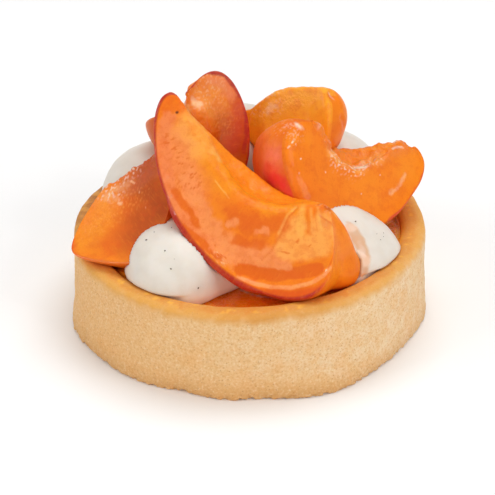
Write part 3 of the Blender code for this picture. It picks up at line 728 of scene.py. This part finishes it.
class Wedge:
    # A slice of fruit in rings from tip to tip. Each ring goes over the hollow side, the cut face
    # behind, the skin and the cut face in front. A place has a run along the line from tip to tip,
    # a rise away from it, and a part of the slice's spread around it.
    def __init__(self, name, spec):
        self.name = name
        self.spec = spec
        self.start = np.array(spec["start"])
        end = np.array(spec["end"])
        self.length = np.linalg.norm(end - self.start)
        self.along = (end - self.start) / self.length
        down = np.array((0, 0, -1))
        down = down - self.along * np.dot(down, self.along)
        self.down = down / np.linalg.norm(down)
        self.across = np.cross(self.along, self.down)
        self.turn = math.radians(spec["turn"])
        self.spread = math.radians(spec["spread"]) * spec["sense"]
        self.build_rings()

    def direction(self, part):
        angle = self.turn + self.spread * np.asarray(part)
        return np.cos(angle)[..., None] * self.down + np.sin(angle)[..., None] * self.across

    def places(self, points):
        offset = points - self.start
        run = offset @ self.along
        radial = offset - run[..., None] * self.along
        rise = np.linalg.norm(radial, axis=-1)
        angle = np.arctan2(radial @ self.across, radial @ self.down) - self.turn
        angle = (angle + math.pi) % (2 * math.pi) - math.pi
        return run, rise, angle / self.spread

    def skin_points(self, outline, parts):
        narrow = 1 - self.spec["narrowing"] * parts
        run = outline[:, 0][:, None]
        run = np.where(run < 0, run * narrow, run)
        run = np.where(run > self.length, self.length + (run - self.length) * narrow, run)
        rise = outline[:, 1][:, None] * (1 - 0.35 * self.spec["narrowing"] * parts)
        return self.start + run[..., None] * self.along + self.direction(parts)[None] * rise[..., None]

    def hollow_points(self, outline, ridge, parts):
        shift = np.minimum(outline[:, 1] - ridge, 0)[:, None, None]
        reach = np.maximum(outline[:, 1], ridge)[:, None, None]
        base = self.start + outline[:, 0][:, None, None] * self.along
        return base + self.direction(0) * shift + self.direction(parts)[None] * reach

    def build_rings(self):
        spec = self.spec
        tips = [(0, 0), (self.length, 0)]
        skin_controls = [
            (run + self.length * index / 4, rise)
            for index, (run, rise) in enumerate(zip(spec["skin_run"], spec["skin_rise"]))]
        hollow_controls = [
            (share * self.length, rise) for share, rise in zip(HOLLOW_SHARES, spec["hollow"])]
        angles = np.radians(np.linspace(TIP_ANGLE, 180 - TIP_ANGLE, spec["sections"]))
        shares = 0.5 - 0.5 * np.cos(angles)
        first, last = spec["hollow_shares"]
        hollow_shares = np.clip((shares - first) / (last - first), 0, 1)
        upper = bernstein(tips[:1] + hollow_controls + tips[1:], hollow_shares)
        lower = bernstein(tips[:1] + skin_controls + tips[1:], shares)
        ridge = EDGE_THICKNESS * np.sin(np.pi * shares)
        hollow = self.hollow_points(upper, ridge, np.linspace(0, 1, HOLLOW_POINTS))
        slim = spec["slim"] + (1 - spec["slim"]) * ramp(shares, 0.1, 0.6)
        hollow = hollow[:, :1] + (hollow - hollow[:, :1]) * slim[:, None, None]
        skin = self.skin_points(lower, np.linspace(1, 0, SKIN_POINTS))
        rear = spread_between(hollow[:, -1:], skin[:, :1], REAR_POINTS)
        front = spread_between(skin[:, -1:], hollow[:, :1], spec["front"])
        rings = np.concatenate([hollow, rear, skin, front], axis=1)
        skin_first = HOLLOW_POINTS + REAR_POINTS
        corners = (0, HOLLOW_POINTS - 1, skin_first, skin_first + SKIN_POINTS - 1)
        for (near_start, near_end), corner in zip(spec["rounding"], corners):
            radii = near_start + (near_end - near_start) * ramp(shares, 0.25, 0.75)
            rings = rounded_corner(rings, corner, radii)
        self.rings = rings
        self.skin = np.zeros(rings.shape[:2])
        self.skin[:, corners[2] + 1:corners[3]] = 1
        self.hollow = np.zeros(rings.shape[:2])
        self.hollow[:, corners[0] + 1:corners[1]] = 1
        hollow_corners = rings[:, corners[:2]]
        self.edge = np.linalg.norm(rings - rings[:, corners[3]][:, None], axis=-1)
        self.ridge = np.min(np.linalg.norm(rings[:, :, None] - hollow_corners[:, None], axis=-1), axis=-1)
        self.run, self.rise, self.part = self.places(rings)
        self.depth = self.rise * np.sin(self.part * self.spread)
        self.front = ramp(np.abs(self.depth), 3.4, 1.8) * (1 - self.skin)
        self.shake = np.stack(
            [bumps(rings, ((1, 2, seed), (0.6, 0.8, seed + 1))) for seed in (61, 64, 67)], axis=-1)

    def mask(self, kind, line, width, ragged=0, soft=0.9):
        # How much of a mark lies on each point
        places = self.rings
        if kind in ("front", "edge"):
            places = np.stack([self.run, self.rise], axis=-1)
        places = places + ragged * self.shake[..., :places.shape[-1]]
        share = {"front": self.front, "skin": self.skin}.get(kind, 1)
        return ramp(line_distance(places, line), width * (1 + soft), width * (1 - soft)) * share

    def marks(self, table):
        return [(kind, *row) for kind in MARK_KINDS for row in table.get((self.name, kind), ())]

    def relief(self):
        # How far the surface stands out from the plain wedge, in millimetres
        relief = bumps(self.rings, FRUIT_BUMPS)
        torn = self.spec["torn"] * np.maximum(hump(self.ridge, 0, 1.6), 0.8 * self.hollow)
        relief += torn * bumps(self.rings, TORN_BUMPS)
        for kind, line, width, height in self.marks(RELIEFS):
            relief += height * self.mask(kind, line, width)
        girth = np.linalg.norm(np.roll(self.rings, 1, axis=1) - self.rings, axis=-1).sum(axis=1)
        return relief * ramp(girth, 1.5, 9)[:, None]

    def tone(self):
        patchy = patches(self.rings, 7, 21, -0.2, 0.6)
        skin_tone = painted(SKIN, ((BLUSH, 0.25 * patchy),))
        tone = painted(FLESH, (
            (FLESH_YELLOW, 0.5 * patchy), (FLESH_YELLOW, 0.6 * self.hollow), (skin_tone, self.skin)))
        for kind, line, width, target, amount, *edge in self.marks(PAINT):
            tone = painted(tone, ((target, amount * self.mask(kind, line, width, *(edge or SHARP_EDGE))),))
        slanted = np.stack([
            0.74 * self.run - 0.67 * self.rise, 0.67 * self.run + 0.74 * self.rise, self.depth], axis=-1)
        for kind, line, width, target, amount, length, breadth in self.marks(FLECKS):
            flecks = ramp(noise(slanted, (length, breadth, breadth), 91), 0.15, 0.45)
            tone = painted(tone, ((target, amount * flecks * self.mask(kind, line, width, 0.6)),))
        passed = np.linspace(0, 1, len(self.rings))[:, None]
        red_end = self.spec["red_end"]
        red = self.spec["red"] * ramp(passed, red_end, red_end - 0.08)
        return painted(tone, (
            (RED_EDGE, red * self.skin * hump(self.edge, 0, 1.6)),
            (RED_EDGE, red * (1 - self.skin) * ramp(self.edge, 0.75, 0.2))))

    def grain(self):
        torn = self.spec["torn"] * np.maximum(hump(self.ridge, 0, 1.5), 0.7 * self.hollow)
        for kind, line, width, amount in self.marks(GRAIN):
            torn = np.maximum(torn, amount * self.mask(kind, line, width, 0.5))
        return torn

    def gloss(self):
        # The glaze is duller along some edges
        dull = 1 - self.spec["dull_edge"] * hump(self.edge, 0, 4.5)
        dull = dull * (1 - self.spec["dull_ridge"] * hump(self.ridge, 0, 2.5))
        return (0.65 - 0.5 * self.skin) * dull


def sink_into_contact(points, anchor, bodies):
    # Points that lie inside a neighbour are drawn back along a line to the piece's own middle
    anchor = Vector(anchor)
    for low, high, tree in bodies:
        inside_box = np.all((points > low) & (points < high), axis=1)
        for index in np.nonzero(inside_box)[0]:
            point = Vector(points[index])
            near, normal, _, _ = tree.find_nearest(point)
            if near is None or (point - near).dot(normal) > 0:
                continue
            heading = anchor - point
            distance = heading.length
            heading.normalize()
            hit, _, _, _ = tree.ray_cast(point, heading, distance)
            if hit is not None:
                points[index] = hit + heading * 0.12


def place_piece(name, rings, anchor, material):
    # Makes a piece that gives way where it meets the pieces placed before it
    points, faces = ring_faces(rings)
    sink_into_contact(points, anchor, placed.values())
    tree = BVHTree.FromPolygons(points.tolist(), faces)
    placed[name] = (points.min(axis=0), points.max(axis=0), tree)
    return make_piece(name + "_looks", points, faces, material, (name,))


def node_middle(name):
    low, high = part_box(name)
    return (np.array(low) + np.array(high)) / 2 / MILLIMETRE


def cream_rings(spec):
    # A dollop on a narrower foot, kept inside the shell's wall
    shares = -CREAM_FOOT + (1 + CREAM_FOOT) * np.arange(CREAM_LEVELS) / CREAM_LEVELS
    shares = np.concatenate([shares, (0.985, 0.993)])
    quarter = 0.5 * math.pi * shares
    power = 2 / spec["squareness"]
    flat = np.cos(quarter) ** power
    rise = np.where(shares > 0, np.maximum(np.sin(quarter), 0) ** power, 0)
    under = np.where(shares > 0, 1, 1 + 0.05 * shares)
    foot = CREAM_BELLY * (shares + CREAM_FOOT) / CREAM_FOOT
    body = np.where(shares > 0, CREAM_BELLY + (1 - CREAM_BELLY) * rise, foot)[:, None]
    angles, turn = ring_angles(CREAM_SEGMENTS)
    tail = spec["tail"] * angle_hump(angles, spec["tail_angle"], spec["tail_width"])
    reach = spec["radius"] * (flat * under)[:, None] * (1 + tail * (1 - 0.6 * body))
    reach = reach + 0.18 * np.sin(3 * turn + 0.7) * ramp(1 - shares, 0, 0.2)[:, None]
    x = spec["centre"][0] + spec["lean"][0] * body + reach * np.cos(turn)
    y = spec["centre"][1] + spec["lean"][1] * body + reach * np.sin(turn)
    z = np.broadcast_to(FILLING_TOP + GAP + spec["height"] * body, x.shape)
    distance = np.hypot(x, y)
    limit = INNER_WALL_RADIUS - 0.65 + 2.4 * ramp(z, 20.45, 21.15)
    softness = 0.5
    kept = -softness * np.logaddexp(-distance / softness, -(limit + 0.2) / softness)
    scale = np.minimum(kept, limit) / distance
    return np.stack([x * scale, y * scale, z], axis=-1)


def speck_rings(heading, middle, length, width):
    # A small pointed seed lying along its heading
    heading = heading / np.linalg.norm(heading)
    aside = np.cross(heading, (0.31, 0.52, 0.8))
    aside /= np.linalg.norm(aside)
    other = np.cross(heading, aside)
    shares = np.array((-0.86, -0.45, 0, 0.45, 0.86))
    _, turn = ring_angles(6)
    reach = width * np.sqrt(1 - shares ** 2)
    round_part = np.cos(turn)[:, None] * aside + np.sin(turn)[:, None] * other
    return middle + length * shares[:, None, None] * heading + reach[:, None, None] * round_part[None]


def vanilla_specks(source):
    places = [(name, Vector(place), 0.15) for name, place in VANILLA_SPECKS]
    for name, count in SCATTERED_SPECKS.items():
        spec = CREAMS[name]
        for _ in range(count):
            angle = source.uniform(0, 2 * math.pi)
            reach = spec["radius"] * 0.95 * math.sqrt(source.uniform())
            top = FILLING_TOP + spec["height"] * source.uniform(0.3, 1.1)
            x = spec["centre"][0] + reach * math.cos(angle)
            y = spec["centre"][1] + reach * math.sin(angle)
            places.append((name, Vector((x, y, top)), source.uniform(0.05, 0.11)))
    all_points = []
    all_faces = []
    for name, place, size in places:
        near, normal, _, _ = placed["cream_" + name][2].find_nearest(place)
        heading = np.cross(np.array(normal), source.normal(size=3))
        middle = np.array(near + normal * 0.02)
        points, faces = ring_faces(speck_rings(heading, middle, size * source.uniform(1, 1.9), size))
        shift = sum(len(part) for part in all_points)
        all_points.append(points)
        all_faces.extend([[index + shift for index in face] for face in faces])
    return np.concatenate(all_points), all_faces


def ring_gap(radius, height):
    # The shell's rings lie close together where the crust shows
    if radius < 31.5 or (radius < 35.5 and height < 0.15):
        return 4
    if radius < 33.2 and height < 17:
        return 1.6
    if height > 18.5:
        return 0.24
    return 0.25 if height < 1.5 else 0.42


def shell_surface():
    profile = np.array(SHELL_PROFILE)
    steps = np.hypot(np.diff(profile[:, 0]), np.diff(profile[:, 1]))
    travel = np.concatenate([[0], np.cumsum(steps)])
    fine = np.arange(0, travel[-1], PROFILE_STEP)
    kernel = np.exp(-((np.arange(-PROFILE_ROUNDING, PROFILE_ROUNDING + 1) / 4) ** 2))
    kernel /= kernel.sum()
    columns = []
    for column in profile.T:
        padded = np.pad(np.interp(fine, travel, column), PROFILE_ROUNDING, mode="edge")
        columns.append(np.convolve(padded, kernel, "valid"))
    dense = np.stack(columns, axis=-1)
    chosen = []
    position = 4
    while position < fine[-1] - 2:
        chosen.append(int(position / PROFILE_STEP))
        position += ring_gap(*dense[chosen[-1], :2])
    radius, height, foot, rim, top, inner = np.split(dense[chosen], 6, axis=1)
    angles, turn = ring_angles(SHELL_SEGMENTS)
    shaped_radius = radius + foot * with_humps(waves(turn, FOOT_WAVES), angles, FOOT_BULGES)
    shaped_radius = shaped_radius + rim * waves(turn, RIM_WAVES) + inner * waves(turn, INNER_WAVES)
    shaped_height = height + top * with_humps(waves(turn, TOP_WAVES), angles, RIM_RISES)
    rings = np.stack([shaped_radius * np.cos(turn), shaped_radius * np.sin(turn), shaped_height], axis=-1)
    return rings, radius, angles


def filling_surface():
    rows = list(FILLING_PROFILE)
    for radius in np.arange(29.8, 0.5, -0.4):
        rise = 0.4 * math.exp(-(((30.2 - radius) / 1.2) ** 2))
        rows.append((radius, FILLING_TOP - FILLING_SAG + rise, 0.4 if radius > 28 else 0))
    radius, height, inner = np.split(np.array(rows), 3, axis=1)
    angles, turn = ring_angles(FILLING_SEGMENTS)
    radius = radius + inner * waves(turn, INNER_WAVES)
    level = FILLING_TOP + 2.2 * with_humps(0, angles, FILLING_POOLS) * ramp(radius, 25.5, 30.5)
    surface = (np.arange(len(rows)) > FILLING_CREST)[:, None]
    height = np.where(surface, np.maximum(height, level), height)
    return np.stack([radius * np.cos(turn), radius * np.sin(turn), height], axis=-1)


# Wedges
placed = {}
fruit_material = make_fruit_material()
for name, changes in WEDGES.items():
    wedge = Wedge(name, {**PLAIN_WEDGE, **changes})
    shaped = raised(wedge.rings, wedge.relief())
    node = "apricot_" + name
    piece = place_piece(node, shaped, node_middle(node), fruit_material)
    places = np.stack([wedge.run, wedge.rise, wedge.part * 10], axis=-1)
    set_layers(piece, tone=wedge.tone(), place=places, grain=wedge.grain(), gloss=wedge.gloss())

# Cream and its specks
cream_material = make_cream_material()
for name, changes in CREAMS.items():
    spec = {**PLAIN_CREAM, **changes}
    rings = cream_rings(spec)
    anchor = (*spec["centre"], FILLING_TOP + 0.25 * spec["height"])
    shaped = raised(rings, bumps(rings, CREAM_BUMPS))
    piece = place_piece("cream_" + name, shaped, anchor, cream_material)
    # The foot of each dollop is painted warmer: painted light thrown back from the filling
    tone = painted(CREAM, ((CREAM_BOUNCE_LIGHT, 0.35 * ramp(rings[..., 2], FILLING_TOP + 4.5, FILLING_TOP + 1)),))
    gloss = np.zeros(rings.shape[:2])
    if name == "right":
        shift = np.stack([noise(rings, 1.6, seed) for seed in (71, 72, 73)], axis=-1)
        gloss = ramp(line_distance(rings + 0.4 * shift, GLAZE_SMEAR), 1.8, 1.2)
        heart = ramp(line_distance(rings + 0.3 * shift, GLAZE_SMEAR[1:3]), 1, 0.4)
        tone = painted(tone, ((SMEAR, 0.8 * gloss), (SMEAR_HEART, 0.7 * heart)))
    set_layers(piece, tone=tone, gloss=gloss)
points, faces = vanilla_specks(np.random.default_rng(81))
make_piece("vanilla_specks", points, faces, make_speck_material())

# Shell
rings, profile_radius, around = shell_surface()
height = rings[..., 2]
outer = ramp(profile_radius, 36, 37.2)
upper = ramp(height, 17.8, 20)
inside = 1 - ramp(profile_radius, 32.8, 33.6)
relief = 0.07 * noise(rings * (1, 1, 0.7), 1.3, 41) * (1 - 0.7 * upper)
relief += 0.06 * noise(rings, 0.7, 42) * (1 - 0.6 * upper)
relief += 0.12 * noise(rings, 4, 43)
relief -= 0.16 * ramp(noise(rings, 1.2, 44), 0.35, 0.8) * (1 - upper)
foot_line = ramp(height, 2.2, 0.2) * outer
relief += foot_line * (0.2 - 0.55 * ramp(bumps(rings, FOOT_CRUMBS), -0.5, 0.8))
shaped = raised(rings, relief)
shaped[..., 2] = np.maximum(shaped[..., 2], 0)
points, faces = ring_faces(shaped)
shell = make_piece("shell_looks", points, faces, make_pastry_material(), ("tart_shell",))
blotch = patches(rings * (1, 1, 0.6), 7, 46, -0.3, 0.6)
pale_places = 0.45 + 0.55 * patches(rings, 3.5, 47, -0.3, 0.6)
ragged = bumps(rings, RIM_RAGGEDNESS)
flat_top = ramp(height + ragged, 18.2, 20.6)
foot_shade = 0.45 + 0.3 * angle_hump(around, 286, 14)
band = ramp(profile_radius + ragged, 36.7, 35.3) * ramp(height, 16, 17.5)
inner_right = ramp(profile_radius + ragged, 35.2, 33.2) * angle_hump(around, 352, 28)
browned = angle_hump(around, 158, 28) * ramp(height, 17, 20)
tone = painted(CRUST, (
    (CRUST_GOLD, 0.6 * blotch),
    # Pale patches all round, painted paler round the front right as painted light
    (CRUST_PALE, (0.15 + 0.68 * angle_hump(around, 335, 60)) * pale_places),
    # More golden on the left side: painted shade
    (CRUST_GOLD, 0.5 * angle_hump(around, 205, 45)),
    # Golden towards the foot at the front: painted shade
    (CRUST_GOLD, 0.9 * ramp(height, 7, 0.5) * angle_hump(around, 272, 45)),
    (CRUST_RIM, 0.9 * flat_top),
    (RIM_IN_FRONT, 0.7 * flat_top * angle_hump(around, 276, 22)),
    (FOOT_SHADE, foot_shade * ramp(height, 5, 0.5)),
    (CRUST_GLAZED, (0.45 + 0.4 * patches(rings, 2.6, 54, -0.2, 0.5)) * band),
    (RIM_SPOTS, 0.75 * patches(rings, 1.8, 55, 0.1, 0.6) * band),
    (RIM_SLOPE, 0.6 * inner_right * ramp(height, 16, 17.5)),
    (CRUST_INSIDE, 0.95 * inside),
    (CRUST_BROWN, browned * (0.3 + 0.65 * patches(rings, 2, 50, -0.5, 0.3)))))
set_layers(shell, tone=tone, gloss=0.12 * band, smooth=ramp(height, 18, 20))

# Filling
rings = filling_surface()
flat_part = ramp(rings[..., 2], 16, 17) * ramp(32 - np.hypot(rings[..., 0], rings[..., 1]), 0.2, 1.5)
shaped = rings.copy()
shaped[..., 2] += flat_part * bumps(rings, FILLING_BUMPS)
filling = place_piece("filling", shaped, (0, 0, 9), make_filling_material())
# A painted highlight, broken into spots, along the line where the front wedge meets the filling
broken = ramp(noise(rings, 1.6, 56), -0.5, 0.3)
painted_highlight = broken * ramp(line_distance(rings[..., :2], FILLING_HIGHLIGHT_LINE), 0.6, 0.2)
tone = painted(FILLING, ((FILLING_EDGE, ramp(rings[..., 2], 17.3, 19)), (FILLING_HIGHLIGHT, 0.75 * painted_highlight)))
set_layers(filling, tone=tone)

# Floor
half = FLOOR_SIZE / 2
floor_mesh = bpy.data.meshes.new("floor")
floor_corners = [(-half, -half, 0), (half, -half, 0), (half, half, 0), (-half, half, 0)]
floor_mesh.from_pydata(floor_corners, [], [(0, 1, 2, 3)])
floor_mesh.materials.append(Graph("floor_paint").surface(Base_Color=(0.98, 0.98, 0.98), Roughness=0.9))
floor = add_object("floor", floor_mesh)

# Lights
for name, heading, distance, width, length, brightness in LAMPS:
    lamp = bpy.data.lights.new(name, "AREA")
    lamp.shape = "RECTANGLE"
    lamp.size = width
    lamp.size_y = length
    lamp.energy = brightness * math.pi * width * length
    direction = Vector(heading).normalized()
    holder = add_object(name, lamp)
    holder.location = LAMP_AIM + direction * distance
    holder.rotation_euler = direction.to_track_quat("Z", "Y").to_euler()

world = bpy.data.worlds.new("studio")
bpy.context.scene.world = world
world.use_nodes = True
background = world.node_tree.nodes["Background"]
background.inputs["Color"].default_value = (1, 1, 1, 1)
background.inputs["Strength"].default_value = DAYLIGHT
bpy.context.scene.view_settings.view_transform = "Standard"

forward = Vector((0, math.cos(ELEVATION), -math.sin(ELEVATION)))
right = forward.cross(Vector((0, 0, 1))).normalized()
up = right.cross(forward)
camera_right = math.cos(ROLL) * right + math.sin(ROLL) * up
camera_up = -math.sin(ROLL) * right + math.cos(ROLL) * up
location = (TARGET - forward * DISTANCE) * MILLIMETRE
lens = bpy.data.cameras.new("camera")
lens.lens = 330
lens.sensor_width = 36
lens.clip_end = 10
camera = add_object("camera", lens)
axes = Matrix((camera_right, camera_up, -forward)).transposed()
camera.matrix_world = Matrix.Translation(location) @ axes.to_4x4()
bpy.context.scene.camera = camera
